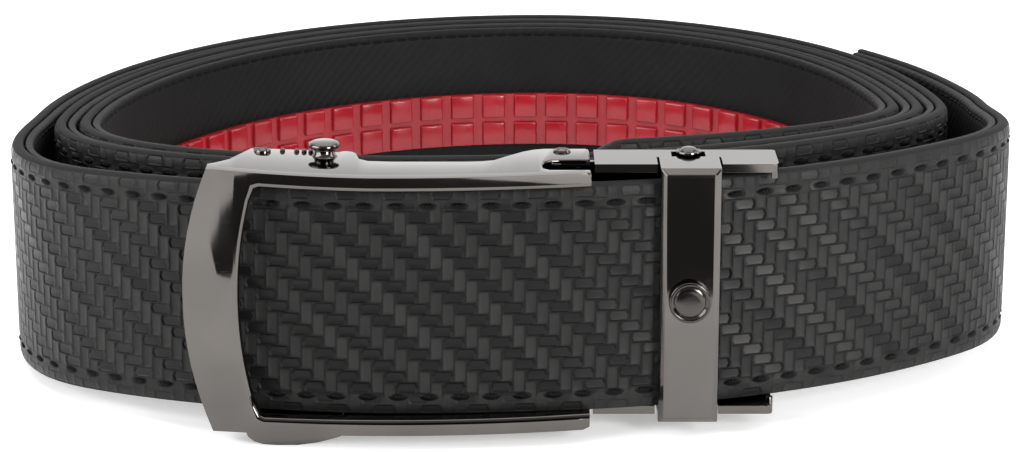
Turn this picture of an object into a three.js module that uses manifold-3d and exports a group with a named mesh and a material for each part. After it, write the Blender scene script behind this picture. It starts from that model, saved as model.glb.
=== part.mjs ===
// A ratchet belt, coiled on its edge, with its buckle closed on the outermost wrap.
// Millimetres. X runs to the right along the buckle's face, Y away from the face, Z up.
// The origin is the middle of the belt's bounding box, on the surface it stands on.

import * as THREE from 'three';
import { mergeVertices } from 'three/addons/utils/BufferGeometryUtils.js';
import Module from 'manifold-3d';

const wasm = await Module();
wasm.setup();

// Strap
const strapWidth = 35;
const leatherThick = 2.0;
const liningThick = 1.3;
const seamGap = 0.3;
const leatherChamfer = 0.45;
const liningChamfer = 0.3;
const liningInset = 0.4;
const tipRadius = 9;
const strapThick = leatherThick + seamGap + liningThick;

// Coil, seen from above: how far the inner coil's outline reaches to each side of the coil's middle
const wrapGap = 0.35;
const wrapPitch = strapThick + wrapGap;
const coilRight = 72.4;
const coilLeft = 74.6;
const coilFront = 14.5;
const coilBack = 137.5;
const bendRight = 67;
const bendLeft = 57;
const frontMiddle = -15;
const backMiddle = 5;
const degreesPerSection = 6;

// Where each stretch of the strap runs, from the outer end to the tip inside. turn counts degrees
// clockwise from the back. layer counts wraps inwards of the inner coil's outline.
const wraps = [
  { turn: 54, layer: -1.4 },
  { turn: 90, layer: -1.75 },
  { turn: 122, layer: -4.25 },
  { turn: 180, layer: -3.67 },
  { turn: 225, layer: -3.5 },
  { turn: 275, layer: -1.03 },
  { turn: 360, layer: -1 },
  { turn: 450, layer: 0 },
  { turn: 720, layer: 0 },
  { turn: 810, layer: 1 },
  { turn: 1080, layer: 1 },
  { turn: 1170, layer: 2 },
  { turn: 1242, layer: 3.3 },
];

// Ratchet track
const trackWidth = 9.7;
const trackSlot = 0.8;
const trackBase = 0.8;
const toothHeight = 0.7;
const toothPitch = 6.35;
const toothLength = 4.7;
const toothFlank = 0.3;
const toothCount = 46;
const trackFromTip = 30;
const trackGap = 0.3;

// Buckle frame
const frameOverStrap = 4.3;
const frameHeight = strapWidth + frameOverStrap;
const frameLength = 59;
const frameMiddle = -18;
const frameRight = frameMiddle + frameLength / 2;
const cornerInset = 4;
const frameLeft = frameRight - frameLength + cornerInset;
const frameFront = -3.3;
const frameBow = 150;
const frameLip = 2.0;
const plateThick = 1.4;
const leftBarBow = 4.3;
const leftBarWidth = 7.6;
const windowBow = 2.5;
const windowLower = 2.5;
const windowUpper = 2.3;
const strapFromFrame = 2.0;
const plateBehindPivot = 3.2;
const recessDepth = 9.9;
const frameRound = 1.3;
const arcSteps = 10;
const pinClearance = 0.25;
const partClearance = 0.3;

// Release lever with its tab below the frame
const tabHeight = 2.1;
const tabLength = 15.2;
const tabDepth = 12;
const tabFromCorner = 11.7;
const tabMiddle = frameLeft + tabFromCorner;
const tabFront = -0.6;
const pivotFromCorner = 15.8;
const pivotX = frameLeft + pivotFromCorner;
const pivotRadius = 1.2;
const sleeveRadius = 2.9;
const mushroomRadius = 2.35;
const mushroomRise = 2.4;
const stopFromCorner = 6.6;
const stopX = frameLeft + stopFromCorner;
const stopBehindPivot = 1.4;
const stopRadius = 0.9;
const bladeReach = 11.2;
const bladeFront = 1.9;
const bladeBehindStrap = 0.65;
const neckLeft = 6.4;
const neckRight = 4;
const neckFront = 1.2;
const neckBack = 0.9;
const neckRoom = 1.1;

// Clamp, keeper and hinge
const hingeFromEnd = 4.1;
const hingeX = frameRight - hingeFromEnd;
const hingeRadius = 1.0;
const knuckleRadius = 1.9;
const hingeFromBack = 1.2;
const earBehindHinge = 1.8;
const clampLength = 27;
const clampGap = 0.6;
const clampLeft = frameRight + clampGap;
const clampRight = clampLeft + clampLength;
const clampFront = 5.0;
const clampBehindStrap = 0.68;
const flangeThick = 1.3;
const flangeRound = 0.8;
const backPlateThick = 1.0;
const hookWidth = 1;
const hookDrop = 2;
const keeperWidth = 8.9;
const keeperFromClamp = 14;
const keeperMiddle = clampLeft + keeperFromClamp;
const keeperFront = 1.0;
const keeperThick = 2.0;
const keeperBevel = 0.7;
const armReach = 3.9;
const tongueWidth = 4.4;
const screwFromBack = 3.2;
const screwRadius = 1.85;
const shankShare = 0.6;
const medallionRadius = 3.1;
const medallionThick = 0.9;

// Heights above the surface that the belt stands on
const frameBottom = tabHeight + partClearance;
const frameTop = frameBottom + frameHeight;
const strapLift = frameBottom + strapFromFrame;
const layDown = 90;
const sideRise = 2.4;
const halfWidth = 80;

// How far a cutting shape runs past the faces that it cuts
const past = 1;

const radians = (degrees) => (degrees * Math.PI) / 180;
const ease = (share) => (1 - Math.cos(Math.PI * share)) / 2;

// The inner coil's outline at a turn: four quarter ellipses that meet with one direction.
function outlinePoint(turn) {
  const angle = radians(turn % 90);
  const quarter = Math.floor(turn / 90) % 4;
  const toSide = [Math.sin(angle), Math.cos(angle), Math.sin(angle), Math.cos(angle)][quarter];
  const toEnd = [Math.cos(angle), Math.sin(angle), Math.cos(angle), Math.sin(angle)][quarter];
  const onRight = quarter < 2;
  const atBack = quarter === 0 || quarter === 3;
  const middle = atBack ? backMiddle : frontMiddle;
  const side = onRight ? coilRight : -coilLeft;
  const bend = onRight ? bendRight : bendLeft;
  const end = atBack ? coilBack : coilFront;
  return new THREE.Vector2(middle + (side - middle) * toSide, bend + (end - bend) * toEnd);
}

function inward(curve, turn) {
  const along = curve(turn + 0.2).sub(curve(turn - 0.2)).normalize();
  return new THREE.Vector2(along.y, -along.x);
}

function layerAt(turn) {
  const next = wraps.findIndex((row) => row.turn >= turn);
  if (next < 1) return next === 0 ? wraps[0].layer : wraps[wraps.length - 1].layer;
  const from = wraps[next - 1];
  const to = wraps[next];
  return from.layer + (to.layer - from.layer) * ease((turn - from.turn) / (to.turn - from.turn));
}

// The strap's outer face in plan
function strapPoint(turn) {
  const inset = layerAt(turn) * wrapPitch;
  return outlinePoint(turn).addScaledVector(inward(outlinePoint, turn), inset);
}

// The buckle lifts the front of the coil, a little more at the right, and the back lies down.
function bottomEdge(point) {
  const front = ease(1 - Math.min(1, Math.max(0, point.y / layDown)));
  return front * (strapLift + sideRise * (point.x / halfWidth) ** 3);
}

// A closed solid from rings of points, capped at both ends
function loft(rings) {
  const size = rings[0].length;
  const positions = rings.flatMap((ring) => ring.flatMap((point) => [point.x, point.y, point.z]));
  const index = [];
  for (let row = 0; row + 1 < rings.length; row += 1) {
    for (let spot = 0; spot < size; spot += 1) {
      const a = row * size + spot;
      const b = row * size + ((spot + 1) % size);
      index.push(a, b, b + size, a, b + size, a + size);
    }
  }
  const contour = rings[0].map((point) => new THREE.Vector2(...point.section));
  const last = (rings.length - 1) * size;
  for (const triangle of THREE.ShapeUtils.triangulateShape(contour, [])) {
    const [a, b, c] = THREE.ShapeUtils.isClockWise(contour) ? [...triangle].reverse() : triangle;
    index.push(a, c, b, last + a, last + b, last + c);
  }
  const geometry = new THREE.BufferGeometry();
  geometry.setAttribute('position', new THREE.Float32BufferAttribute(positions, 3));
  geometry.setIndex(index);
  return geometry;
}

// A section point lies `depth` inside the strap's outer face and `height` above its lower edge.
function ringAt(turn, section) {
  const point = strapPoint(turn);
  const normal = inward(strapPoint, turn);
  const lower = bottomEdge(point);
  return section.map(([depth, height]) => {
    const place = new THREE.Vector3(point.x + normal.x * depth, point.y + normal.y * depth, lower + height);
    place.section = [depth, height];
    return place;
  });
}

const firstTurn = wraps[0].turn;
const lastTurn = wraps[wraps.length - 1].turn;

// Distance along the strap, from the outer end, at each turn of a fine walk
function measureStrap() {
  const walk = [];
  let length = 0;
  let before = strapPoint(firstTurn);
  for (let turn = firstTurn; turn <= lastTurn; turn += 0.5) {
    const here = strapPoint(turn);
    length += here.distanceTo(before);
    walk.push({ turn, length });
    before = here;
  }
  return walk;
}

const strapWalk = measureStrap();
const strapLength = strapWalk[strapWalk.length - 1].length;

function turnAtLength(length) {
  const next = Math.max(1, strapWalk.findIndex((row) => row.length >= length));
  const from = strapWalk[next - 1];
  const to = strapWalk[next];
  return from.turn + ((to.turn - from.turn) * (length - from.length)) / (to.length - from.length);
}

function lengthAtTurn(turn) {
  const spot = Math.min(strapWalk.length - 1, Math.max(0, Math.round((turn - firstTurn) / 0.5)));
  return strapWalk[spot].length;
}

// The inner face of the buckled wrap, where the wrap crosses an x on the front of the coil
function innerFaceAt(x) {
  let right = 100;
  let left = 250;
  while (left - right > 0.01) {
    const middle = (left + right) / 2;
    if (strapPoint(middle).x > x) right = middle;
    else left = middle;
  }
  const normal = inward(strapPoint, right);
  return strapPoint(right).y + normal.y * strapThick;
}

// The clamp's back plate clears the strap at its right end, and the hinge lies on that plate.
const clampBack = innerFaceAt(clampRight) + clampBehindStrap + backPlateThick;
const hingeY = clampBack - hingeFromBack;
const earDepth = hingeY + earBehindHinge - frameFront;
const screwY = clampBack - screwFromBack;

// The lever's blade clears the strap at its tip, and the stop pin and side plates follow the pivot.
const pivotY = innerFaceAt(pivotX - bladeReach) + bladeBehindStrap + bladeFront;
const stopY = pivotY + stopBehindPivot;
const plateDepth = pivotY + plateBehindPivot - frameFront;

// How much the round tip takes off each edge at a distance from the strap's inner end
function tipCut(fromTip) {
  const short = Math.max(0, tipRadius - fromTip);
  return tipRadius - Math.sqrt(tipRadius ** 2 - short ** 2);
}

function strapTurns(endInset) {
  const end = strapLength - endInset;
  const tipSteps = [1, 0.5, 0.2, 0.05].map((share) => turnAtLength(end - tipRadius * share));
  const turns = [];
  for (let turn = firstTurn; turn < tipSteps[0] - 1; turn += degreesPerSection) turns.push(turn);
  return [...turns, ...tipSteps, turnAtLength(end)];
}

function strapLayer({ depth, thick, edgeInset, chamfer, endInset, chamferInside }) {
  const rings = strapTurns(endInset).map((turn) => {
    const cut = edgeInset + tipCut(strapLength - endInset - lengthAtTurn(turn));
    const low = cut;
    const high = strapWidth - cut;
    const near = depth;
    const far = depth + thick;
    const outside = [[near, low + chamfer], [near, high - chamfer], [near + chamfer, high],
      [far, high], [far, low], [near + chamfer, low]];
    const inside = [[near, low], [near, high], [far - chamfer, high],
      [far, high - chamfer], [far, low + chamfer], [far - chamfer, low]];
    return ringAt(turn, chamferInside ? inside : outside);
  });
  return loft(rings);
}

function makeLeather() {
  return strapLayer({
    depth: 0, thick: leatherThick, edgeInset: 0, chamfer: leatherChamfer, endInset: 0, chamferInside: false,
  });
}

function makeLining() {
  return strapLayer({
    depth: leatherThick + seamGap,
    thick: liningThick,
    edgeInset: liningInset,
    chamfer: liningChamfer,
    endInset: liningInset,
    chamferInside: true,
  });
}

// Two rows of square teeth on one base strip, along the inside of the strap near its tip
function makeTrack() {
  const end = strapLength - trackFromTip;
  const start = end - toothCount * toothPitch;
  const near = strapThick + trackGap;
  const valley = near + trackBase;
  const top = valley + toothHeight;
  const low = (strapWidth - trackWidth) / 2;
  const high = low + trackWidth;
  const slotLow = (strapWidth - trackSlot) / 2;
  const slotHigh = slotLow + trackSlot;
  const slope = toothFlank / 2;
  const section = (face) => [[near, low], [near, high], [face, high], [face, slotHigh + slope],
    [valley, slotHigh], [valley, slotLow], [face, slotLow - slope], [face, low]];
  const rings = [];
  for (let tooth = 0; tooth < toothCount; tooth += 1) {
    const from = start + tooth * toothPitch + (toothPitch - toothLength) / 2;
    const steps = [[0, valley], [toothFlank, top], [toothLength - toothFlank, top], [toothLength, valley]];
    for (const [along, face] of steps) rings.push(ringAt(turnAtLength(from + along), section(face)));
  }
  return loft(rings);
}

// Solid helpers around the boolean library
function toSolid(geometry) {
  const bare = geometry.clone();
  bare.deleteAttribute('normal');
  bare.deleteAttribute('uv');
  const merged = mergeVertices(bare, 1e-5);
  return new wasm.Manifold(new wasm.Mesh({
    numProp: 3,
    vertProperties: new Float32Array(merged.attributes.position.array),
    triVerts: new Uint32Array(merged.index.array),
  }));
}

function toGeometry(solid) {
  const mesh = solid.getMesh();
  const geometry = new THREE.BufferGeometry();
  geometry.setAttribute('position', new THREE.Float32BufferAttribute(mesh.vertProperties, 3));
  geometry.setIndex(Array.from(mesh.triVerts));
  return geometry;
}

function joined(solids) {
  return solids.reduce((sum, solid) => sum.add(solid));
}

// A flat shape in plan, raised from one height to another
function plate(points, low, high) {
  const shape = new THREE.Shape(points.map(([x, y]) => new THREE.Vector2(x, y)));
  const geometry = new THREE.ExtrudeGeometry(shape, { depth: high - low, bevelEnabled: false });
  geometry.translate(0, 0, low);
  return toSolid(geometry);
}

// A shape seen from the front, with x to the right and height up, running from one depth to another
function slab(points, front, back) {
  const shape = new THREE.Shape(points.map(([x, z]) => new THREE.Vector2(x, z)));
  const geometry = new THREE.ExtrudeGeometry(shape, { depth: back - front, bevelEnabled: false });
  geometry.rotateX(Math.PI / 2);
  geometry.translate(0, back, 0);
  return toSolid(geometry);
}

function block(x0, x1, y0, y1, z0, z1) {
  return plate([[x0, y0], [x1, y0], [x1, y1], [x0, y1]], z0, z1);
}

function post(x, y, radius, low, high, sides = 16) {
  const geometry = new THREE.CylinderGeometry(radius, radius, high - low, sides);
  geometry.rotateX(Math.PI / 2);
  geometry.translate(x, y, (low + high) / 2);
  return toSolid(geometry);
}

// A round piece on a vertical axis, from its radius at each height
function turned(x, y, profile, sides = 18) {
  const geometry = new THREE.LatheGeometry(profile.map(([radius, z]) => new THREE.Vector2(radius, z)), sides);
  geometry.rotateX(Math.PI / 2);
  geometry.translate(x, y, 0);
  return toSolid(geometry);
}

// Points of an arc that bows by `bow` between two ends, listed from the first end to the second
function bowed(from, to, bow, steps) {
  const points = [];
  for (let step = 0; step <= steps; step += 1) {
    const share = step / steps;
    const out = bow * (1 - (2 * share - 1) ** 2);
    const length = Math.hypot(to[0] - from[0], to[1] - from[1]);
    points.push([
      from[0] + (to[0] - from[0]) * share + (out * (to[1] - from[1])) / length,
      from[1] + (to[1] - from[1]) * share - (out * (to[0] - from[0])) / length,
    ]);
  }
  return points;
}

const frontArc = (x) => frameFront + (x - frameMiddle) ** 2 / (2 * frameBow);
const bandLeft = frameLeft - leftBarBow - past;

// Points in plan along the bowed front, a distance behind it, from the left to the right
function arcPoints(behind) {
  const points = [];
  for (let step = 0; step <= arcSteps; step += 1) {
    const x = bandLeft + ((frameRight - bandLeft) * step) / arcSteps;
    points.push([x, frontArc(x) + behind]);
  }
  return points;
}

// A corner between two straight edges, cut twice so that it looks round
function roundCorner(x, y, towardsX, towardsY, round) {
  const share = 0.3;
  return [
    [x + towardsX * round, y],
    [x + towardsX * round * share, y + towardsY * round * share],
    [x, y + towardsY * round],
  ];
}

// The frame's outline from the front, with its bowed left edge and rounded right ends
function frameOutline() {
  return [
    ...bowed([frameLeft, frameTop], [frameLeft, frameBottom], leftBarBow, arcSteps),
    ...roundCorner(frameRight, frameBottom, -1, 1, frameRound),
    ...roundCorner(frameRight, frameTop, -1, -1, frameRound).reverse(),
  ];
}

function windowOutline() {
  const left = frameLeft + leftBarWidth - windowBow * 0.6;
  const low = frameBottom + windowLower;
  const high = frameTop - windowUpper;
  return [
    ...bowed([left, high], [left, low], windowBow, 8),
    [frameRight + past, low],
    [frameRight + past, high],
  ];
}

// The side plate's back edge, from the right end to the left: the ear round the hinge, the recess,
// and the deep part round the pivot. Each row is a distance along from a named place.
function plateBack() {
  const rows = [
    { from: frameRight, along: 0, depth: earDepth },
    { from: hingeX, along: -3.1, depth: earDepth },
    { from: hingeX, along: -5.9, depth: earDepth - 1.6 },
    { from: hingeX, along: -9.9, depth: recessDepth + 0.8 },
    { from: hingeX, along: -13.9, depth: recessDepth },
    { from: pivotX, along: 10, depth: recessDepth },
    { from: pivotX, along: 6.5, depth: recessDepth + 1.2 },
    { from: pivotX, along: 5.4, depth: plateDepth - 0.8 },
    { from: pivotX, along: 3.8, depth: plateDepth },
    { from: frameLeft, along: 6.5, depth: plateDepth },
    { from: frameLeft, along: 0.6, depth: plateDepth * 0.4 },
  ];
  return rows.map(({ from, along, depth }) => [from + along, frameFront + depth]);
}

function makeFrame() {
  const band = plate([...arcPoints(0), ...arcPoints(frameLip).reverse()], frameBottom, frameTop);
  const bandDepth = frontArc(bandLeft) + frameLip + past;
  const outline = slab(frameOutline(), frameFront - past, bandDepth);
  const front = band.intersect(outline).subtract(slab(windowOutline(), frameFront - past, bandDepth));
  const plateBehindFront = 0.4;
  const sidePlate = (low) => {
    const arc = arcPoints(plateBehindFront).filter(([x]) => x > frameLeft);
    return plate([...arc, ...plateBack()], low, low + plateThick);
  };
  const sides = [sidePlate(frameBottom), sidePlate(frameTop - plateThick)];
  const bore = (x, y, radius) => post(x, y, radius + pinClearance, frameBottom - past, frameTop + past);
  const bores = [
    bore(pivotX, pivotY, pivotRadius),
    bore(stopX, stopY, stopRadius),
    bore(hingeX, hingeY, hingeRadius),
  ];
  const neckSlot = block(pivotX - neckLeft - neckRoom, pivotX - neckRight + neckRoom,
    pivotY - neckFront - neckRoom, pivotY + neckBack + neckRoom, frameBottom - past, frameBottom + plateThick + past);
  const body = joined([front, ...sides]);
  return toGeometry(body.subtract(joined([...bores, neckSlot])));
}

// The knob on top of the pivot pin: heights are above the frame, or below the knob's crown.
function makePivotPin() {
  const pinEnd = 0.2;
  const crown = frameTop + mushroomRise;
  const collar = 0.7;
  const waist = pivotRadius + 0.2;
  return toGeometry(turned(pivotX, pivotY, [
    [0, frameBottom + pinEnd],
    [pivotRadius, frameBottom + pinEnd],
    [pivotRadius, frameTop + pinEnd],
    [pivotRadius + collar, frameTop + pinEnd],
    [waist, frameTop + collar],
    [waist, crown - mushroomRise / 2],
    [mushroomRadius, crown - mushroomRise / 3],
    [mushroomRadius * 0.94, crown - mushroomRise / 6],
    [mushroomRadius * 0.6, crown],
    [0, crown],
  ]));
}

const pinInset = 0.2;

function makeStopPin() {
  return toGeometry(post(stopX, stopY, stopRadius, frameBottom + pinInset, frameTop - pinInset, 12));
}

function makeHingePin() {
  return toGeometry(post(hingeX, hingeY, hingeRadius, frameBottom + pinInset, frameTop - pinInset, 14));
}

// Inside the frame's two side plates, with room to move
const innerLow = frameBottom + plateThick + partClearance;
const innerHigh = frameTop - plateThick - partClearance;

// The lever's blade in plan, as distances from the pivot
const bladeOutline = [
  { along: -bladeReach, out: -bladeFront },
  { along: -bladeReach + 2.2, out: -1.5 },
  { along: -1.2, out: -2.6 },
  { along: 0, out: 0 },
  { along: -1, out: 2.7 },
  { along: -bladeReach + 2, out: -0.4 },
  { along: -bladeReach, out: -0.8 },
];

// The tab's lower edge, as shares of its length and height
const tabEdge = [
  { along: 0, height: 1 },
  { along: 0.02, height: 0.62 },
  { along: 0.08, height: 0.27 },
  { along: 0.17, height: 0.07 },
  { along: 0.3, height: 0 },
  { along: 0.5, height: 0 },
  { along: 0.7, height: 0.2 },
  { along: 0.86, height: 0.5 },
  { along: 1, height: 0.85 },
  { along: 1, height: 1 },
];

function makeLever() {
  const overlap = 0.4;
  const sleeve = post(pivotX, pivotY, sleeveRadius, innerLow, innerHigh, 18);
  const blade = plate(bladeOutline.map(({ along, out }) => [pivotX + along, pivotY + out]), innerLow, innerHigh);
  const neck = block(pivotX - neckLeft, pivotX - neckRight, pivotY - neckFront, pivotY + neckBack,
    tabHeight - overlap, innerLow + overlap);
  const tabLeft = tabMiddle - tabLength / 2;
  const edge = tabEdge.map(({ along, height }) => [tabLeft + along * tabLength, height * tabHeight]);
  const tab = slab(edge.reverse(), tabFront, tabFront + tabDepth);
  const bore = post(pivotX, pivotY, pivotRadius + partClearance, innerLow - past, innerHigh + past);
  return toGeometry(joined([sleeve, blade]).subtract(bore).add(neck).add(tab));
}

function makeClamp() {
  const low = frameBottom + 0.5;
  const high = frameTop - 0.1;
  const back = block(clampLeft, clampRight, clampBack - backPlateThick, clampBack, low, high);
  const flange = (z) => plate([
    [clampLeft, clampFront],
    ...roundCorner(clampRight, clampFront, -1, 1, flangeRound),
    [clampRight, clampBack],
    [clampLeft, clampBack],
  ], z, z + flangeThick);
  const hookFront = clampFront + flangeRound;
  const hook = (z) => block(clampRight - hookWidth, clampRight, hookFront, hookFront + hookWidth, z, z + hookDrop);
  const knuckle = post(hingeX, hingeY, knuckleRadius, innerLow, innerHigh, 16)
    .add(block(hingeX, clampLeft + past, clampBack - backPlateThick, clampBack, innerLow, innerHigh));
  const hingeBore = post(hingeX, hingeY, hingeRadius + partClearance, innerLow - past, innerHigh + past);
  const hooks = [hook(high - 0.4 - hookDrop), hook(low + 0.4)];
  const channel = joined([back, flange(low), flange(high - flangeThick), ...hooks, knuckle]);
  const half = keeperWidth / 2 + partClearance;
  const tongue = tongueWidth / 2 + partClearance;
  const notchBack = clampFront + armReach + partClearance;
  const backPlateFront = clampBack - backPlateThick;
  const notch = block(keeperMiddle - half, keeperMiddle + half, clampFront - past, notchBack, 0, frameTop + past)
    .add(block(keeperMiddle - tongue, keeperMiddle + tongue, clampFront, backPlateFront - 0.1, 0, frameTop + past));
  return toGeometry(channel.subtract(hingeBore).subtract(notch));
}

function makeKeeper() {
  const low = frameBottom + 0.3;
  const high = frameTop + 0.1;
  const left = keeperMiddle - keeperWidth / 2;
  const right = keeperMiddle + keeperWidth / 2;
  const back = keeperFront + keeperThick;
  const bar = plate([
    [left, keeperFront + keeperBevel],
    [left + keeperBevel, keeperFront],
    [right - keeperBevel, keeperFront],
    [right, keeperFront + keeperBevel],
    [right, back],
    [left, back],
  ], low, high);
  const side = slab([
    [left, low + keeperBevel], [left + keeperBevel, low],
    [right - keeperBevel, low], [right, low + keeperBevel],
    [right, high - keeperBevel], [right - keeperBevel, high],
    [left + keeperBevel, high], [left, high - keeperBevel],
  ], keeperFront - past, back);
  const overlap = 0.5;
  const tongue = tongueWidth / 2;
  const arm = (z) => block(left, right, back - overlap, clampFront + armReach, z, z + flangeThick)
    .add(block(keeperMiddle - tongue, keeperMiddle + tongue, clampFront + armReach - overlap,
      clampBack - backPlateThick - 0.4, z, z + flangeThick));
  const whole = bar.intersect(side).add(arm(low)).add(arm(high - flangeThick));
  const bore = post(keeperMiddle, screwY, screwRadius * shankShare + pinClearance,
    frameTop - 4, frameTop + past);
  return toGeometry(whole.subtract(bore));
}

// The medallion's profile, as shares of its radius and thickness
const medallionProfile = [
  { radius: 0, out: 0 },
  { radius: 1, out: 0 },
  { radius: 1, out: 0.7 },
  { radius: 0.88, out: 1 },
  { radius: 0.7, out: 1 },
  { radius: 0.62, out: 0.7 },
  { radius: 0.45, out: 0.7 },
  { radius: 0.38, out: 1 },
  { radius: 0, out: 1 },
];

function makeMedallion() {
  const profile = medallionProfile.map(
    ({ radius, out }) => new THREE.Vector2(radius * medallionRadius, out * medallionThick),
  );
  const geometry = new THREE.LatheGeometry(profile, 24);
  geometry.rotateX(Math.PI);
  geometry.translate(keeperMiddle, keeperFront - partClearance, strapLift + strapWidth / 2);
  return toGeometry(toSolid(geometry));
}

function makeScrew() {
  const x = keeperMiddle;
  const y = screwY;
  const seat = frameTop + 0.1 + partClearance;
  const shankEnd = frameTop - 4.5;
  const headHeight = 0.8;
  const shank = screwRadius * shankShare;
  const screw = turned(x, y, [
    [0, shankEnd],
    [shank, shankEnd],
    [shank, seat],
    [screwRadius, seat],
    [screwRadius, seat + headHeight * 0.6],
    [screwRadius * 0.8, seat + headHeight],
    [0, seat + headHeight],
  ], 16);
  const slotHalf = 0.3;
  const slot = block(x - screwRadius, x + screwRadius, y - slotHalf, y + slotHalf,
    seat + headHeight / 2, seat + headHeight + past);
  return toGeometry(screw.subtract(slot));
}

const gunmetal = new THREE.MeshStandardMaterial({ color: 0x6d6866, metalness: 1, roughness: 0.18 });
const blackLeather = new THREE.MeshStandardMaterial({ color: 0x1b1a1a, metalness: 0, roughness: 0.5 });
const blackLining = new THREE.MeshStandardMaterial({ color: 0x121212, metalness: 0, roughness: 0.7 });
const redPlastic = new THREE.MeshStandardMaterial({ color: 0xb0101c, metalness: 0, roughness: 0.3 });

const pieces = [
  { name: 'strap_leather', geometry: makeLeather(), material: blackLeather },
  { name: 'strap_lining', geometry: makeLining(), material: blackLining },
  { name: 'ratchet_track', geometry: makeTrack(), material: redPlastic },
  { name: 'buckle_frame', geometry: makeFrame(), material: gunmetal },
  { name: 'pivot_pin', geometry: makePivotPin(), material: gunmetal },
  { name: 'stop_pin', geometry: makeStopPin(), material: gunmetal },
  { name: 'release_lever', geometry: makeLever(), material: gunmetal },
  { name: 'hinge_pin', geometry: makeHingePin(), material: gunmetal },
  { name: 'strap_clamp', geometry: makeClamp(), material: gunmetal },
  { name: 'keeper', geometry: makeKeeper(), material: gunmetal },
  { name: 'medallion', geometry: makeMedallion(), material: gunmetal },
  { name: 'clamp_screw', geometry: makeScrew(), material: gunmetal },
];

const belt = new THREE.Group();
for (const { name, geometry, material } of pieces) {
  const mesh = new THREE.Mesh(geometry, material);
  mesh.name = name;
  belt.add(mesh);
}

// The middle of the bounding box goes to the origin, and the lowest point to height zero.
const bounds = new THREE.Box3().setFromObject(belt);
const centre = bounds.getCenter(new THREE.Vector3());
for (const mesh of belt.children) mesh.position.set(-centre.x, -centre.y, -bounds.min.z);

export default belt;
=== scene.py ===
import math

import bmesh
import bpy
import numpy as np
from mathutils import Matrix, Vector


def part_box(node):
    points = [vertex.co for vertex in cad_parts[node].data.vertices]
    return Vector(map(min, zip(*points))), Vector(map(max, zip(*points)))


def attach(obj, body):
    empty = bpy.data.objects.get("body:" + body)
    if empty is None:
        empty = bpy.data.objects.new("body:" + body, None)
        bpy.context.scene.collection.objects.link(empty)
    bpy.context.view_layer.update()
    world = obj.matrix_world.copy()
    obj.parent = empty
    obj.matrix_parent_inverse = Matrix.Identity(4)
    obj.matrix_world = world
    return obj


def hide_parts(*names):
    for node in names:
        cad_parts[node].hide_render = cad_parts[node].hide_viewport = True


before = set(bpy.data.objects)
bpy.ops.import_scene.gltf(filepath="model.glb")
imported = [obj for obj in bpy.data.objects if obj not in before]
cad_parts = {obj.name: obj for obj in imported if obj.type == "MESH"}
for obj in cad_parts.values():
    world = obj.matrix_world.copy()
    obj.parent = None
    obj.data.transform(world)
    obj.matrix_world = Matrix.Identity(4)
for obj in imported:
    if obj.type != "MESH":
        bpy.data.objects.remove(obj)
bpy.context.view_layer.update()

# Ratchet belt, coiled on its edge with its buckle closed on the outermost wrap.
# The strap's pieces are modelled lying flat: X runs along the strap, Y is the depth from its
# outer face and Z the height above its lower edge. They are then laid along the coil's path.

bl_info = {
    "name": "Ratchet belt",
    "version": (1, 0, 0),
    "blender": (4, 5, 0),
    "location": "3D View > Sidebar > Belt",
    "description": "Builds a coiled ratchet belt with its buckle, and a pale studio around it",
    "category": "Object",
}

MM = 0.001

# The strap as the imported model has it, in millimetres
STRAP_WIDTH = 35.0
LEATHER_THICK = 2.0
LINING_DEPTH = 2.3
LINING_THICK = 1.3
LINING_INSET = 0.4
TIP_RADIUS = 9.0
WRAP_PITCH = 3.95
COIL_RIGHT, COIL_LEFT = 72.4, 74.6
COIL_FRONT, COIL_BACK = 14.5, 137.5
BEND_RIGHT, BEND_LEFT = 67.0, 57.0
FRONT_MIDDLE, BACK_MIDDLE = -15.0, 5.0
LAY_DOWN, SIDE_RISE, HALF_WIDTH, STRAP_LIFT = 90.0, 2.4, 80.0, 4.4
WRAP_TURNS = (54, 90, 122, 180, 225, 275, 360, 450, 720, 810, 1080, 1170, 1242)
WRAP_LAYERS = (-1.4, -1.75, -4.25, -3.67, -3.5, -1.03, -1, 0, 0, 1, 1, 2, 3.3)

# The pivot pin's place in the same drawing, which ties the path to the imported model
PIVOT = (-27.7, 9.3)
PIN_LOW, PIN_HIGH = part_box("pivot_pin")
SHIFT = (
    (PIN_LOW.x + PIN_HIGH.x) / 2 / MM - PIVOT[0],
    (PIN_LOW.y + PIN_HIGH.y) / 2 / MM - PIVOT[1],
)


# The coil's path

def ease(share):
    return (1 - np.cos(np.pi * share)) / 2


def outline_point(turn):
    """The inner coil's outline in plan at each turn: four quarter ellipses that meet smoothly."""
    angle = np.radians(turn % 90)
    quarter = np.floor(turn / 90).astype(int) % 4
    swapped = quarter % 2 == 1
    to_side = np.where(swapped, np.cos(angle), np.sin(angle))
    to_end = np.where(swapped, np.sin(angle), np.cos(angle))
    on_right = quarter < 2
    at_back = (quarter == 0) | (quarter == 3)
    middle = np.where(at_back, BACK_MIDDLE, FRONT_MIDDLE)
    side = np.where(on_right, COIL_RIGHT, -COIL_LEFT)
    bend = np.where(on_right, BEND_RIGHT, BEND_LEFT)
    end = np.where(at_back, COIL_BACK, COIL_FRONT)
    return np.stack((middle + (side - middle) * to_side, bend + (end - bend) * to_end), axis=1)


def inward(curve, turn):
    along = curve(turn + 0.2) - curve(turn - 0.2)
    along /= np.linalg.norm(along, axis=1)[:, None]
    return np.stack((along[:, 1], -along[:, 0]), axis=1)


def layer_at(turn):
    turns, layers = np.array(WRAP_TURNS, float), np.array(WRAP_LAYERS, float)
    turn = np.clip(turn, turns[0], turns[-1])
    row = np.clip(np.searchsorted(turns, turn, side="right") - 1, 0, len(turns) - 2)
    share = (turn - turns[row]) / (turns[row + 1] - turns[row])
    return layers[row] + (layers[row + 1] - layers[row]) * ease(share)


def strap_point(turn):
    return outline_point(turn) + inward(outline_point, turn) * (layer_at(turn) * WRAP_PITCH)[:, None]


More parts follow.
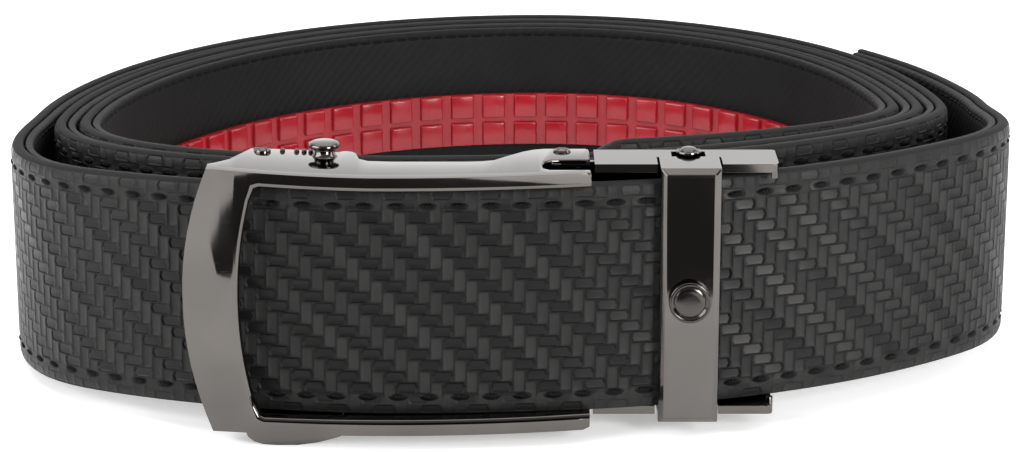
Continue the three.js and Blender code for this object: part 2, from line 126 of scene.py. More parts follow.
def bottom_edge(point):
    front = ease(1 - np.clip(point[:, 1] / LAY_DOWN, 0, 1))
    return front * (STRAP_LIFT + SIDE_RISE * (point[:, 0] / HALF_WIDTH) ** 3)


WALK_TURNS = np.arange(WRAP_TURNS[0], WRAP_TURNS[-1] + 0.1, 0.5)
WALK_STEPS = np.linalg.norm(np.diff(strap_point(WALK_TURNS), axis=0), axis=1)
WALK_LENGTHS = np.concatenate(([0.0], np.cumsum(WALK_STEPS)))
STRAP_LENGTH = WALK_LENGTHS[-1]


def lay_on_coil(flat):
    """Carries flat points (along, depth, height) in millimetres to their places, in metres."""
    turn = np.interp(flat[:, 0], WALK_LENGTHS, WALK_TURNS)
    point = strap_point(turn)
    place = point + inward(strap_point, turn) * flat[:, 1:2]
    height = bottom_edge(point) + flat[:, 2]
    return np.stack((place[:, 0] + SHIFT[0], place[:, 1] + SHIFT[1], height), axis=1) * MM


# Mesh helpers

def finish_mesh(mesh, name, angle=40.0):
    """Turns a bmesh into an object with smooth faces that stay sharp at corners past the angle."""
    bmesh.ops.recalc_face_normals(mesh, faces=mesh.faces)
    for face in mesh.faces:
        face.smooth = True
    data = bpy.data.meshes.new(name)
    mesh.to_mesh(data)
    mesh.free()
    data.set_sharp_from_angle(angle=math.radians(angle))
    piece = bpy.data.objects.new(name, data)
    bpy.context.scene.collection.objects.link(piece)
    return piece


def finish_strap_mesh(mesh, name, angle):
    """Gives a flat strap piece its UV map in metres, then lays it along the coil."""
    piece = finish_mesh(mesh, name, angle)
    data = piece.data
    flat = np.zeros(len(data.vertices) * 3)
    data.vertices.foreach_get("co", flat)
    flat = flat.reshape(-1, 3)
    corners = np.zeros(len(data.loops), int)
    data.loops.foreach_get("vertex_index", corners)
    layer = data.uv_layers.new(name="Strap")
    layer.data.foreach_set("uv", (flat[corners][:, [0, 2]] * MM).ravel())
    data.vertices.foreach_set("co", lay_on_coil(flat).astype(np.float32).ravel())
    data.update()
    return piece


def strip(mesh, section, stations):
    """Extrudes a closed section of (depth, height) points along X, and closes both of its ends."""
    ring = [mesh.verts.new((stations[0], depth, height)) for depth, height in section]
    edges = [mesh.edges.new(pair) for pair in zip(ring, ring[1:] + ring[:1])]
    bmesh.ops.contextual_create(mesh, geom=edges)
    for before, after in zip(stations, stations[1:]):
        made = bmesh.ops.extrude_edge_only(mesh, edges=edges)["geom"]
        edges = [part for part in made if isinstance(part, bmesh.types.BMEdge)]
        verts = [part for part in made if isinstance(part, bmesh.types.BMVert)]
        bmesh.ops.translate(mesh, verts=verts, vec=(after - before, 0, 0))
    bmesh.ops.contextual_create(mesh, geom=edges)


def strap_stations(inset):
    """Where the strap's sections stand, closer together round its tip."""
    step = bpy.context.scene.belt_sizes.section_step / MM
    end = STRAP_LENGTH - inset
    body = np.arange(inset, end - TIP_RADIUS - step / 2, step)
    tip = [end - TIP_RADIUS * share for share in (1, 0.8, 0.6, 0.45, 0.3, 0.2, 0.1, 0.04, 0.0)]
    return [*body, *tip]


def round_the_tip(mesh, end, width):
    """Draws the edges in near the inner end so that both corners are round."""
    for vert in mesh.verts:
        short = max(0.0, TIP_RADIUS - (end - vert.co.x))
        cut = TIP_RADIUS - math.sqrt(max(0.0, TIP_RADIUS**2 - short**2))
        middle = STRAP_WIDTH / 2
        vert.co.z = middle + (vert.co.z - middle) * (1 - 2 * cut / width)


def strap_wall(name, half, inset=0.0):
    """A wall of the strap, from half a section that runs from mid face round its lower edge to mid back."""
    upper = [(depth, STRAP_WIDTH - height) for depth, height in half]
    mesh = bmesh.new()
    strip(mesh, upper[::-1] + half, strap_stations(inset))
    round_the_tip(mesh, STRAP_LENGTH - inset, STRAP_WIDTH - 2 * inset)
    return finish_strap_mesh(mesh, name, 60.0)


# Node helpers

class Graph:
    """Short calls that add nodes to a node tree and link them."""

    def __init__(self, tree):
        self.tree = tree

    def node(self, kind, **settings):
        made = self.tree.nodes.new(kind)
        for name, value in settings.items():
            setattr(made, name, value)
        return made

    def put(self, value, socket):
        if isinstance(value, bpy.types.NodeSocket):
            self.tree.links.new(value, socket)
        else:
            socket.default_value = value

    def math(self, operation, *values):
        made = self.node("ShaderNodeMath", operation=operation)
        for value, socket in zip(values, made.inputs):
            self.put(value, socket)
        return made.outputs[0]

    def sum(self, first, second):
        return self.math("ADD", first, second)

    def times(self, first, second):
        return self.math("MULTIPLY", first, second)

    def mix(self, factor, first, second):
        made = self.node("ShaderNodeMix", data_type="FLOAT")
        for value, spot in ((factor, 0), (first, 2), (second, 3)):
            self.put(value, made.inputs[spot])
        return made.outputs[0]

    def blend(self, factor, first, second):
        made = self.node("ShaderNodeMix", data_type="RGBA")
        for value, spot in ((factor, 0), (first, 6), (second, 7)):
            self.put(value, made.inputs[spot])
        return made.outputs[2]

    def span(self, value, low, high, to_low=0.0, to_high=1.0):
        made = self.node("ShaderNodeMapRange", interpolation_type="SMOOTHSTEP")
        for item, spot in ((value, 0), (low, 1), (high, 2), (to_low, 3), (to_high, 4)):
            self.put(item, made.inputs[spot])
        return made.outputs[0]

    def noise(self, vector, scale, detail=2.0, roughness=0.5):
        made = self.node("ShaderNodeTexNoise")
        self.put(vector, made.inputs["Vector"])
        self.put(scale, made.inputs["Scale"])
        made.inputs["Detail"].default_value = detail
        made.inputs["Roughness"].default_value = roughness
        return made.outputs[0]

    def vector(self, x, y, z=0.0):
        made = self.node("ShaderNodeCombineXYZ")
        for value, socket in zip((x, y, z), made.inputs):
            self.put(value, socket)
        return made.outputs[0]

    def split(self, vector):
        made = self.node("ShaderNodeSeparateXYZ")
        self.put(vector, made.inputs[0])
        return made.outputs

    def place(self):
        return self.node("ShaderNodeTexCoord").outputs["Object"]

    def less(self, value):
        return self.math("SUBTRACT", 1.0, value)

    def bump(self, height, distance, strength=1.0):
        made = self.node("ShaderNodeBump")
        self.put(height, made.inputs["Height"])
        made.inputs["Distance"].default_value = distance
        made.inputs["Strength"].default_value = strength
        return made.outputs[0]

    def group(self, tree, **values):
        made = self.node("ShaderNodeGroup")
        made.node_tree = tree
        for name, value in values.items():
            self.put(value, made.inputs[name])
        return made.outputs


def new_group(name, inputs, outputs):
    """An empty node group with float or vector inputs and float outputs."""
    tree = bpy.data.node_groups.new(name, "ShaderNodeTree")
    for title, kind in inputs:
        tree.interface.new_socket(name=title, in_out="INPUT", socket_type=kind)
    for title in outputs:
        tree.interface.new_socket(name=title, in_out="OUTPUT", socket_type="NodeSocketFloat")
    graph = Graph(tree)
    entry = graph.node("NodeGroupInput").outputs
    result = graph.node("NodeGroupOutput").inputs
    return graph, entry, result


FLOAT, VECTOR = "NodeSocketFloat", "NodeSocketVector"


def float_profile(graph, share, power):
    """One in the middle of a thread float and nought at its two ends."""
    across = graph.math("ABSOLUTE", graph.sum(graph.times(share, 2.0), -1.0))
    return graph.less(graph.math("POWER", across, power))


def twill_group():
    """A two-and-two twill: flat wefts that step one thread to the right in each lower row."""
    graph, entry, result = new_group(
        "Twill weave",
        (("Along", FLOAT), ("Up", FLOAT), ("Thread", FLOAT)),
        ("Height", "Weft", "Shade"),
    )
    column = graph.math("DIVIDE", graph.times(entry["Along"], -1.0), entry["Thread"])
    row = graph.math("DIVIDE", entry["Up"], entry["Thread"])
    whole_column, whole_row = graph.math("FLOOR", column), graph.math("FLOOR", row)
    in_column, in_row = graph.math("FRACT", column), graph.math("FRACT", row)
    phase = graph.math("FLOORED_MODULO", graph.sum(whole_column, whole_row), 4.0)
    weft = graph.math("LESS_THAN", phase, 1.5)
    along_weft = graph.times(graph.sum(phase, in_column), 0.5)
    along_warp = graph.times(graph.sum(graph.sum(phase, -2.0), in_row), 0.5)
    from_middle = graph.math("ABSOLUTE", graph.sum(graph.times(in_row, 2.0), -1.0))
    from_centre = graph.math("ABSOLUTE", graph.sum(graph.times(along_weft, 2.0), -1.0))
    slanted_end = graph.sum(from_centre, graph.times(from_middle, 0.2))
    rim = graph.math("MAXIMUM", from_middle, graph.times(slanted_end, 0.97))
    pad = graph.times(graph.span(rim, 0.72, 1.0, 1.0, 0.0), weft)
    dome = graph.sum(0.75, graph.times(float_profile(graph, in_row, 2.0), 0.25))
    ribbon = graph.times(float_profile(graph, along_warp, 4.0), float_profile(graph, in_column, 3.0))
    low = graph.times(graph.times(ribbon, 0.5), graph.less(weft))
    graph.put(graph.sum(low, graph.times(pad, dome)), result["Height"])
    graph.put(pad, result["Weft"])
    start = graph.math("SUBTRACT", whole_column, phase)
    place = graph.vector(start, whole_row)
    white = graph.node("ShaderNodeTexWhiteNoise", noise_dimensions="2D")
    graph.put(place, white.inputs["Vector"])
    graph.put(white.outputs["Value"], result["Shade"])
    return graph.tree


def grain_group():
    """Fine leather grain: small cells with softer unevenness under them."""
    graph, entry, result = new_group(
        "Leather grain", (("Vector", VECTOR), ("Scale", FLOAT)), ("Height", "Mottle")
    )
    cells = graph.node("ShaderNodeTexVoronoi", feature="DISTANCE_TO_EDGE")
    graph.put(entry["Vector"], cells.inputs["Vector"])
    graph.put(entry["Scale"], cells.inputs["Scale"])
    pits = graph.span(cells.outputs["Distance"], 0.0, 0.22)
    soft = graph.noise(entry["Vector"], graph.times(entry["Scale"], 0.6), 4.0, 0.6)
    graph.put(graph.mix(0.5, pits, soft), result["Height"])
    graph.put(graph.noise(entry["Vector"], graph.times(entry["Scale"], 0.08), 3.0), result["Mottle"])
    return graph.tree


def handling_group():
    """Fine hairline scratches and faint smudges on polished surfaces."""
    graph, entry, result = new_group(
        "Handling marks", (("Vector", VECTOR), ("Scale", FLOAT)), ("Scratches", "Smudges")
    )
    stretch = graph.node("ShaderNodeMapping")
    graph.put(entry["Vector"], stretch.inputs["Vector"])
    stretch.inputs["Scale"].default_value = (1.0, 1.0, 14.0)
    stretch.inputs["Rotation"].default_value = (0.25, 0.5, 0.3)
    lines = graph.noise(stretch.outputs[0], graph.times(entry["Scale"], 4.0), 5.0, 0.7)
    graph.put(graph.span(lines, 0.56, 0.74), result["Scratches"])
    graph.put(graph.span(graph.noise(entry["Vector"], entry["Scale"], 3.0), 0.4, 0.7), result["Smudges"])
    return graph.tree


def opaque(colour):
    return (*colour, 1.0)


def new_material(name):
    material = bpy.data.materials.new(name)
    material.use_nodes = True
    graph = Graph(material.node_tree)
    return material, graph, material.node_tree.nodes["Principled BSDF"].inputs


def strap_place(graph):
    """The distance along the strap, the height on it, and the distance to its nearer edge."""
    chart = graph.node("ShaderNodeUVMap", uv_map="Strap")
    along, up = graph.split(chart.outputs[0])[:2]
    edge = graph.math("MINIMUM", up, graph.math("SUBTRACT", STRAP_WIDTH * MM, up))
    return along, up, edge


def slanting_wave(graph, along, up, lean, width):
    """A wave along the strap, which lies further back or ahead with each step up."""
    slant = graph.sum(along, graph.times(up, lean))
    return graph.math("SINE", graph.times(slant, 2 * math.pi / width))


def painted_sheen_bands(graph, twill, flat, along, up):
    """How pale each pad is: painted sheen in bands that slant across the strap, with a little chance in them.
    """
    lean, width, unevenness, by_chance = -0.78, 0.0135, 26.0, 0.25
    wave = slanting_wave(graph, along, up, lean, width)
    drift = graph.noise(flat, unevenness, 1.0)
    band = graph.span(graph.sum(graph.times(wave, 0.16), drift), 0.34, 0.66)
    return graph.sum(graph.times(twill["Shade"], by_chance), graph.times(band, 1 - by_chance))


def painted_pad_sheen(graph, side):
    """Painted light and shade by place along the strap: pads are palest at the right of the keeper, and
    darker than the ground in the buckle's window.
    """
    painted_paleness = graph.span(side, -0.06, -0.04, 0.3, 0.05)
    painted_paleness = graph.sum(painted_paleness, graph.span(side, 0.005, 0.032, 0.0, 0.95))
    return graph.sum(painted_paleness, graph.span(side, 0.040, 0.066, 0.0, -0.8))


def stitch_hollows(graph, along, edge):
    """The distance to the seam's line, and one where a stitch pulls the leather in, which is also painted
    shade in each hollow.
    """
    half_pitch = face_pitch() * MM / 2
    flatness, inner, outer = 0.4, 0.00030, 0.00062
    inset = bpy.context.scene.belt_sizes.face_inset
    seam_far = graph.math("ABSOLUTE", graph.sum(edge, -inset))
    step = graph.math("PINGPONG", graph.sum(along, -SEAM_START * MM), half_pitch)
    step = graph.times(graph.math("SUBTRACT", half_pitch, step), flatness)
    reach = graph.math("SQRT", graph.sum(graph.times(step, step), graph.times(seam_far, seam_far)))
    return seam_far, graph.span(reach, inner, outer, 1.0, 0.0)


def woven_colour(graph, colours, twill, shade, paleness):
    """The colour of the weave's pads and ground: the pads' paleness is painted sheen with some random tone,
    and the grooves between the threads are darkened as painted shade.
    """
    dark, pale = opaque(colours.weave_dark), opaque(colours.weave_light)
    thread = graph.blend(graph.times(shade, paleness), dark, pale)
    ground = graph.blend(shade, opaque(colours.ground_light), opaque(colours.ground_dark))
    woven = graph.blend(twill["Weft"], ground, thread)
    # Painted shade: the grooves between the threads are darkened towards the weave's darkest colour.
    return graph.blend(graph.span(twill["Height"], 0.0, 0.3, 0.08, 1.0), dark, woven)


def face_leather(colours, groups):
    """Black leather pressed with a twill, plain outside its seams, its raw edges painted dark."""
    material, graph, skin = new_material("Twill pressed leather")
    along, up, edge = strap_place(graph)
    side = graph.split(graph.place())[0]
    flat = graph.vector(along, up)
    twill = graph.group(groups["twill"], Along=along, Up=up, Thread=colours.thread)
    grain = graph.group(groups["grain"], Vector=flat, Scale=2600.0)
    # Painted sheen: the pads' shade is mostly slanting bands of painted sheen, with a quarter random tone.
    shade = painted_sheen_bands(graph, twill, flat, along, up)
    seam_far, hole = stitch_hollows(graph, along, edge)
    border = graph.span(edge, 0.0022, 0.0031, 1.0, 0.0)
    painted = graph.span(edge, 0.00035, 0.0006, 1.0, 0.0)

    # Painted light: the pads' paleness by place is painted sheen and shade.
    woven = woven_colour(graph, colours, twill, shade, painted_pad_sheen(graph, side))
    woven = graph.blend(graph.times(border, 0.75), woven, opaque(colours.ground_dark))
    colour = graph.blend(painted, woven, opaque(colours.edge_paint))
    # Painted shade: each stitch's hollow is darkened to the thread's dark colour.
    colour = graph.blend(hole, colour, opaque(colours.stitch_dark))
    graph.put(colour, skin["Base Color"])

    rough = graph.mix(graph.times(twill["Weft"], shade), 0.5, 0.33)
    rough = graph.sum(rough, graph.times(grain["Mottle"], 0.10))
    rough = graph.sum(rough, graph.span(side, -0.075, -0.03, -0.12, 0.0))
    graph.put(graph.mix(painted, rough, 0.85), skin["Roughness"])

    fibres = graph.noise(graph.vector(graph.times(along, 0.12), up), 5200.0, 2.0)
    relief = graph.times(twill["Height"], graph.span(seam_far, 0.0003, 0.0011))
    relief = graph.times(relief, graph.less(painted))
    relief = graph.times(relief, graph.less(graph.times(border, 0.6)))
    relief = graph.sum(relief, graph.times(grain["Height"], 0.03))
    relief = graph.sum(relief, graph.times(graph.times(fibres, twill["Weft"]), 0.05))
    relief = graph.sum(relief, graph.times(hole, -1.6))
    graph.put(graph.bump(relief, 0.00055), skin["Normal"])
    skin["Specular IOR Level"].default_value = 0.17
    return material


def lining_leather(colours, groups):
    """Plain black lining with a fine grain and a faint slanting press mark, whose troughs are darkened as
    painted shade.
    """
    material, graph, skin = new_material("Black lining")
    along, up, _ = strap_place(graph)
    flat = graph.vector(along, up)
    grain = graph.group(groups["grain"], Vector=flat, Scale=1900.0)
    ribs = slanting_wave(graph, along, up, lean=-1.0, width=0.0021)
    shade = graph.sum(graph.times(grain["Mottle"], 0.6), graph.times(graph.span(ribs, -1.0, 1.0), 0.3))
    # Painted shade: the colour darkens in the press mark's troughs; the mottle is random tone.
    colour = graph.blend(shade, opaque(colours.lining_dark), opaque(colours.lining_light))
    graph.put(colour, skin["Base Color"])
    graph.put(graph.mix(grain["Mottle"], 0.7, 0.6), skin["Roughness"])
    relief = graph.sum(graph.times(grain["Height"], 0.5), graph.times(ribs, 0.22))
    graph.put(graph.bump(relief, 0.00012, 0.8), skin["Normal"])
    skin["Specular IOR Level"].default_value = 0.2
    return material


def thread_material(colours):
    """Black twisted sewing thread, with painted shade in the grooves of its twist."""
    material, graph, skin = new_material("Sewing thread")
    along, up, _ = strap_place(graph)
    twist = slanting_wave(graph, along, up, lean=1.4, width=0.00062)
    crest = graph.span(twist, -1.0, 1.0)
    # Painted shade: the twist's grooves are darker than its crests.
    colour = graph.blend(crest, opaque(colours.stitch_dark), opaque(colours.stitch_light))
    graph.put(colour, skin["Base Color"])
    graph.put(graph.mix(crest, 0.75, 0.6), skin["Roughness"])
    graph.put(graph.bump(twist, 0.00008, 0.7), skin["Normal"])
    skin["Specular IOR Level"].default_value = 0.12
    return material


def track_plastic(colours, groups):
    """Glossy red moulded plastic, a little uneven in its red."""
    material, graph, skin = new_material("Red moulded plastic")
    place = graph.place()
    marks = graph.group(groups["marks"], Vector=place, Scale=160.0)
    mottle = graph.noise(place, 60.0, 3.0)
    colour = graph.blend(mottle, opaque(colours.track_deep), opaque(colours.track_bright))
    graph.put(colour, skin["Base Color"])
    graph.put(graph.mix(marks["Smudges"], 0.24, 0.4), skin["Roughness"])
    graph.put(graph.bump(graph.noise(place, 420.0, 3.0), 0.00006, 0.5), skin["Normal"])
    skin["Coat Weight"].default_value = 0.15
    skin["Coat Roughness"].default_value = 0.12
    return material


def polished_metal(name, colour, roughness, groups):
    """Polished black-nickel plating with faint smudges and hairline scratches."""
    material, graph, skin = new_material(name)
    place = graph.place()
    marks = graph.group(groups["marks"], Vector=place, Scale=90.0)
    worn = [min(1.0, part * 1.12) for part in colour]
    graph.put(graph.blend(marks["Smudges"], opaque(colour), opaque(worn)), skin["Base Color"])
    skin["Metallic"].default_value = 1.0
    rough = graph.mix(marks["Smudges"], roughness, roughness + 0.05)
    graph.put(graph.sum(rough, graph.times(marks["Scratches"], 0.06)), skin["Roughness"])
    uneven = graph.sum(graph.noise(place, 70.0, 2.0), graph.times(marks["Scratches"], -0.03))
    graph.put(graph.bump(uneven, 0.00003, 0.6), skin["Normal"])
    return material


# What a user may change

def colour_setting(title, part, colour):
    return bpy.props.FloatVectorProperty(name=title, description="Colour of the " + part,
                                         default=colour, min=0, max=1, subtype="COLOR")


def length_setting(title, text, length, low, high):
    return bpy.props.FloatProperty(name=title, description=text, default=length,
                                   min=low, max=high, unit="LENGTH", precision=5)


class BeltFinish(bpy.types.PropertyGroup):
    """Colours and sizes of the belt's finishes."""

    thread: length_setting("Weave thread", "Width of one thread of the pressed twill", 0.00174, 0.0005, 0.005)
    # Weave, dark also paints shade into the grooves between the threads.
    weave_dark: colour_setting("Weave, dark", "darkest pads and of the grooves", (0.0032, 0.0031, 0.0030))
    # Weave, light is painted sheen on the pads.
    weave_light: colour_setting("Weave, light", "palest pads", (0.037, 0.0359, 0.0349))
    # The ground's light and dark bands are painted sheen.
    ground_dark: colour_setting("Ground, dark", "warp in the light bands", (0.0125, 0.0122, 0.0119))
    ground_light: colour_setting("Ground, light", "warp in the dark bands", (0.0190, 0.0184, 0.0179))
    edge_paint: colour_setting("Edge paint", "painted leather edges", (0.014, 0.0138, 0.0136))
    lining_dark: colour_setting("Lining, dark", "lining at its darkest", (0.0015, 0.0015, 0.0015))
    lining_light: colour_setting("Lining, light", "lining at its lightest", (0.0055, 0.0054, 0.0054))
    # Thread, dark also paints shade into the stitch hollows and the thread's twist grooves.
    stitch_dark: colour_setting("Thread, dark", "thread's grooves and of its holes", (0.002, 0.002, 0.002))
    stitch_light: colour_setting("Thread, light", "strands of the sewing thread", (0.004, 0.004, 0.004))
    track_deep: colour_setting("Track, deep", "ratchet track at its darkest", (0.22, 0.005, 0.010))
    track_bright: colour_setting("Track, bright", "ratchet track at its brightest", (0.37, 0.008, 0.017))
    gunmetal: colour_setting("Gunmetal", "polished buckle", (0.108, 0.100, 0.094))
    gloss: bpy.props.FloatProperty(
        name="Metal roughness", description="How blurred the buckle's reflections are",
        default=0.045, min=0, max=1, subtype="FACTOR")


class BeltSizes(bpy.types.PropertyGroup):
    """Sizes of the belt's fine parts."""

    section_step: length_setting("Section step", "Distance between the strap's sections", 0.0030, 0.001, 0.01)
    face_stitch: length_setting(
        "Face stitch", "Distance from one stitch to the next on the outer face", 0.0046, 0.002, 0.01)
    face_inset: length_setting(
        "Face seam inset", "Distance from the strap's edge to its outer seam", 0.0029, 0.001, 0.01)
    lining_stitch: length_setting(
        "Lining stitch", "Distance from one stitch to the next on the lining", 0.0025, 0.001, 0.01)
    lining_inset: length_setting(
        "Lining seam inset", "Distance from the strap's edge to its inner seam", 0.0016, 0.001, 0.01)
    edge_round: length_setting(
        "Metal edge rounding", "Width of the small bevels on the hardware", 0.00025, 0.00005, 0.001)


# Strap pieces

class BELT_OT_leather(bpy.types.Operator):
    """Make the outer leather, with rounded edges and a shallow groove for each seam."""

    bl_idname = "belt.leather"
    bl_label = "Strap leather"

    def execute(self, context):
        seam = context.scene.belt_sizes.face_inset / MM
        half = [
            (0.0, STRAP_WIDTH * 0.4), (0.0, 9.0), (0.0, seam + 2.2), (0.02, seam + 0.9),
            (0.13, seam + 0.45), (0.24, seam), (0.15, seam - 0.45), (0.04, seam - 0.9),
            (0.05, 1.45), (0.13, 0.95), (0.32, 0.48), (0.62, 0.16), (1.0, 0.02),
            (1.55, 0.02), (1.86, 0.12), (LEATHER_THICK, 0.35), (LEATHER_THICK, STRAP_WIDTH * 0.4),
        ]
        dress(strap_wall("strap_face", half), "Twill pressed leather", "leather", "strap_leather")
        return {"FINISHED"}


class BELT_OT_lining(bpy.types.Operator):
    """Make the lining behind the leather."""

    bl_idname = "belt.lining"
    bl_label = "Strap lining"

    def execute(self, context):
        low = LINING_INSET
        near, far = LINING_DEPTH, LINING_DEPTH + LINING_THICK
        seam = context.scene.belt_sizes.lining_inset / MM
        half = [
            (near, STRAP_WIDTH * 0.4), (near, low + 0.25), (near + 0.12, low), (far - 0.5, low),
            (far - 0.18, low + 0.16), (far - 0.04, low + 0.5), (far - 0.02, seam - 0.35),
            (far - 0.16, seam), (far - 0.02, seam + 0.4), (far, seam + 1.2), (far, STRAP_WIDTH * 0.4),
        ]
        dress(strap_wall("strap_back", half, LINING_INSET), "Black lining", "lining", "strap_lining")
        return {"FINISHED"}


SEAM_START = 2.5


def seam_spacing(inset, pitch):
    """The seam's lengths, and how many stitches of about one pitch fill it exactly."""
    corner = TIP_RADIUS - inset
    arc = corner * math.pi / 2
    across = STRAP_WIDTH - 2 * TIP_RADIUS
    run = STRAP_LENGTH - TIP_RADIUS - SEAM_START
    total = 2 * run + 2 * arc + across
    return corner, arc, across, run, total, round(total / pitch)


def face_pitch():
    sizes = bpy.context.scene.belt_sizes
    *_, total, count = seam_spacing(sizes.face_inset / MM, sizes.face_stitch / MM)
    return total / count


def seam_places(inset, pitch):
    """Centres and directions of stitches along both edges and round the tip, lying flat."""
    corner, arc, across, run, total, count = seam_spacing(inset, pitch)
    straight = STRAP_LENGTH - TIP_RADIUS
    for spot in range(count):
        far = (spot + 0.5) * total / count
        if far < run:
            yield SEAM_START + far, inset, 0.0
        elif far < run + arc:
            angle = (far - run) / corner
            yield straight + corner * math.sin(angle), TIP_RADIUS - corner * math.cos(angle), angle
        elif far < run + arc + across:
            yield straight + corner, TIP_RADIUS + far - run - arc, math.pi / 2
        elif far < run + 2 * arc + across:
            angle = (far - run - arc - across) / corner
            height = STRAP_WIDTH - TIP_RADIUS + corner * math.sin(angle)
            yield straight + corner * math.cos(angle), height, math.pi / 2 + angle
        else:
            yield straight - (far - run - 2 * arc - across), STRAP_WIDTH - inset, math.pi


def stamp(mesh, small, places):
    """Adds a copy of a small bmesh to a bmesh at each place, given as a matrix, and frees it."""
    pattern = bpy.data.meshes.new("Stamp pattern")
    small.to_mesh(pattern)
    small.free()
    for place in places:
        copy = pattern.copy()
        copy.transform(place)
        mesh.from_mesh(copy)
        bpy.data.meshes.remove(copy)
    bpy.data.meshes.remove(pattern)


def sew(name, slot, inset, pitch, depth, size, tilt):
    """Makes a seam of small pointed beads of thread, each a little tilted in its row."""
    bead = bmesh.new()
    bmesh.ops.create_uvsphere(bead, u_segments=8, v_segments=7, radius=1.0,
                              matrix=Matrix.Rotation(math.pi / 2, 4, "Y"))
    places = []
    for along, height, angle in seam_places(inset, pitch):
        turn = Matrix.Rotation(-angle - tilt, 4, "Y")
        places.append(Matrix.Translation((along, depth, height)) @ turn @ Matrix.Diagonal((*size, 1.0)))
    mesh = bmesh.new()
    stamp(mesh, bead, places)
    dress(finish_strap_mesh(mesh, name, 180.0), "Sewing thread", slot)


class BELT_OT_seams(bpy.types.Operator):
    """Sew the seams of the outer face and of the lining."""

    bl_idname = "belt.seams"
    bl_label = "Seams"

    def execute(self, context):
        sizes = context.scene.belt_sizes
        pitch = sizes.face_stitch / MM
        depth, bead, tilt = 0.17, (pitch * 0.21, 0.26, 0.34), 0.16
        sew("face_seam", "leather", sizes.face_inset / MM, pitch, depth, bead, tilt)
        pitch = sizes.lining_stitch / MM
        depth, bead = LINING_DEPTH + LINING_THICK - 0.08, (pitch * 0.42, 0.2, 0.27)
        sew("lining_seam", "lining", sizes.lining_inset / MM, pitch, depth, bead, tilt=0.0)
        return {"FINISHED"}


TRACK_WIDTH, TRACK_SLOT, TRACK_BASE, TOOTH_HEIGHT = 9.7, 0.8, 0.8, 0.7
TOOTH_PITCH, TOOTH_LENGTH, TOOTH_COUNT, TRACK_FROM_TIP = 6.35, 4.7, 46, 30.0
TRACK_DEPTH = 3.9


class BELT_OT_track(bpy.types.Operator):
    """Make the red ratchet track: a thin strip with two rows of rounded teeth."""

    bl_idname = "belt.track"
    bl_label = "Ratchet track"

    def execute(self, context):
        low = (STRAP_WIDTH - TRACK_WIDTH) / 2
        valley = TRACK_DEPTH + TRACK_BASE
        end = STRAP_LENGTH - TRACK_FROM_TIP
        start = end - TOOTH_COUNT * TOOTH_PITCH
        mesh = bmesh.new()
        high = low + TRACK_WIDTH
        section = [(TRACK_DEPTH, low), (TRACK_DEPTH, high), (valley, high), (valley, low)]
        strip(mesh, section, list(np.linspace(start, end, TOOTH_COUNT * 2 + 1)))
        tooth_width = (TRACK_WIDTH - TRACK_SLOT) / 2
        rows = (low + tooth_width / 2, high - tooth_width / 2)
        stamp(mesh, track_tooth(tooth_width), [
            Matrix.Translation((start + (tooth + 0.5) * TOOTH_PITCH, valley, height))
            for tooth in range(TOOTH_COUNT) for height in rows
        ])
        piece = finish_strap_mesh(mesh, "track_teeth", 50.0)
        dress(piece, "Red moulded plastic", "track", "ratchet_track")
        return {"FINISHED"}


def track_tooth(width):
    """One square tooth with sloped sides and a rounded crown, sunk a little into the strip."""
    sunk = 0.15
    tooth = bmesh.new()
    size = (TOOTH_LENGTH, TOOTH_HEIGHT + sunk, width)
    middle = Matrix.Translation((0, (TOOTH_HEIGHT - sunk) / 2, 0))
    verts = bmesh.ops.create_cube(tooth, size=1.0, matrix=middle @ Matrix.Diagonal((*size, 1.0)))["verts"]
    crown = [vert for vert in verts if vert.co.y > 0]
    bmesh.ops.scale(tooth, verts=crown, vec=(0.93, 1.0, 0.95))
    edges = {edge for vert in crown for edge in vert.link_edges}
    bmesh.ops.bevel(tooth, geom=list(edges), offset=0.28, offset_type="OFFSET", segments=2,
                    profile=0.5, affect="EDGES", clamp_overlap=True, material=-1)
    return tooth


# Hardware

def dress(piece, material, slot, *nodes):
    """Gives a piece its material, its body and the solids that it replaces; the slot is not used."""
    piece.data.materials.clear()
    piece.data.materials.append(bpy.data.materials[material])
    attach(piece, "lever" if nodes == ("release_lever",) else "belt")
    if nodes:
        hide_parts(*nodes)


def merged_copy(node):
    """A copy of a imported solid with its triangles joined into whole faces."""
    mesh = bmesh.new()
    mesh.from_mesh(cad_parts[node].data)
    bmesh.ops.remove_doubles(mesh, verts=mesh.verts, dist=2e-6)
    bmesh.ops.dissolve_limit(mesh, angle_limit=math.radians(1.0), verts=mesh.verts, edges=mesh.edges)
    return mesh


def soften(piece, width):
    """Rounds the sharp edges of a piece and keeps its flat faces flat."""
    segments, least_bend = 3, math.radians(28.0)
    bevel = piece.modifiers.new("Edge rounding", "BEVEL")
    bevel.width = width
    bevel.segments = segments
    bevel.limit_method = "ANGLE"
    bevel.angle_limit = least_bend
    bevel.use_clamp_overlap = True
    even = piece.modifiers.new("Even shading", "WEIGHTED_NORMAL")
    even.keep_sharp = False
    even.weight = 80


def metal_piece(mesh, name, angle, *nodes, metal="Polished gunmetal", rounding=0.0):
    """Makes a piece of the hardware from its mesh, and gives it its metal."""
    piece = finish_mesh(mesh, name, angle)
    if rounding:
        soften(piece, rounding)
    dress(piece, metal, "gunmetal", *nodes)


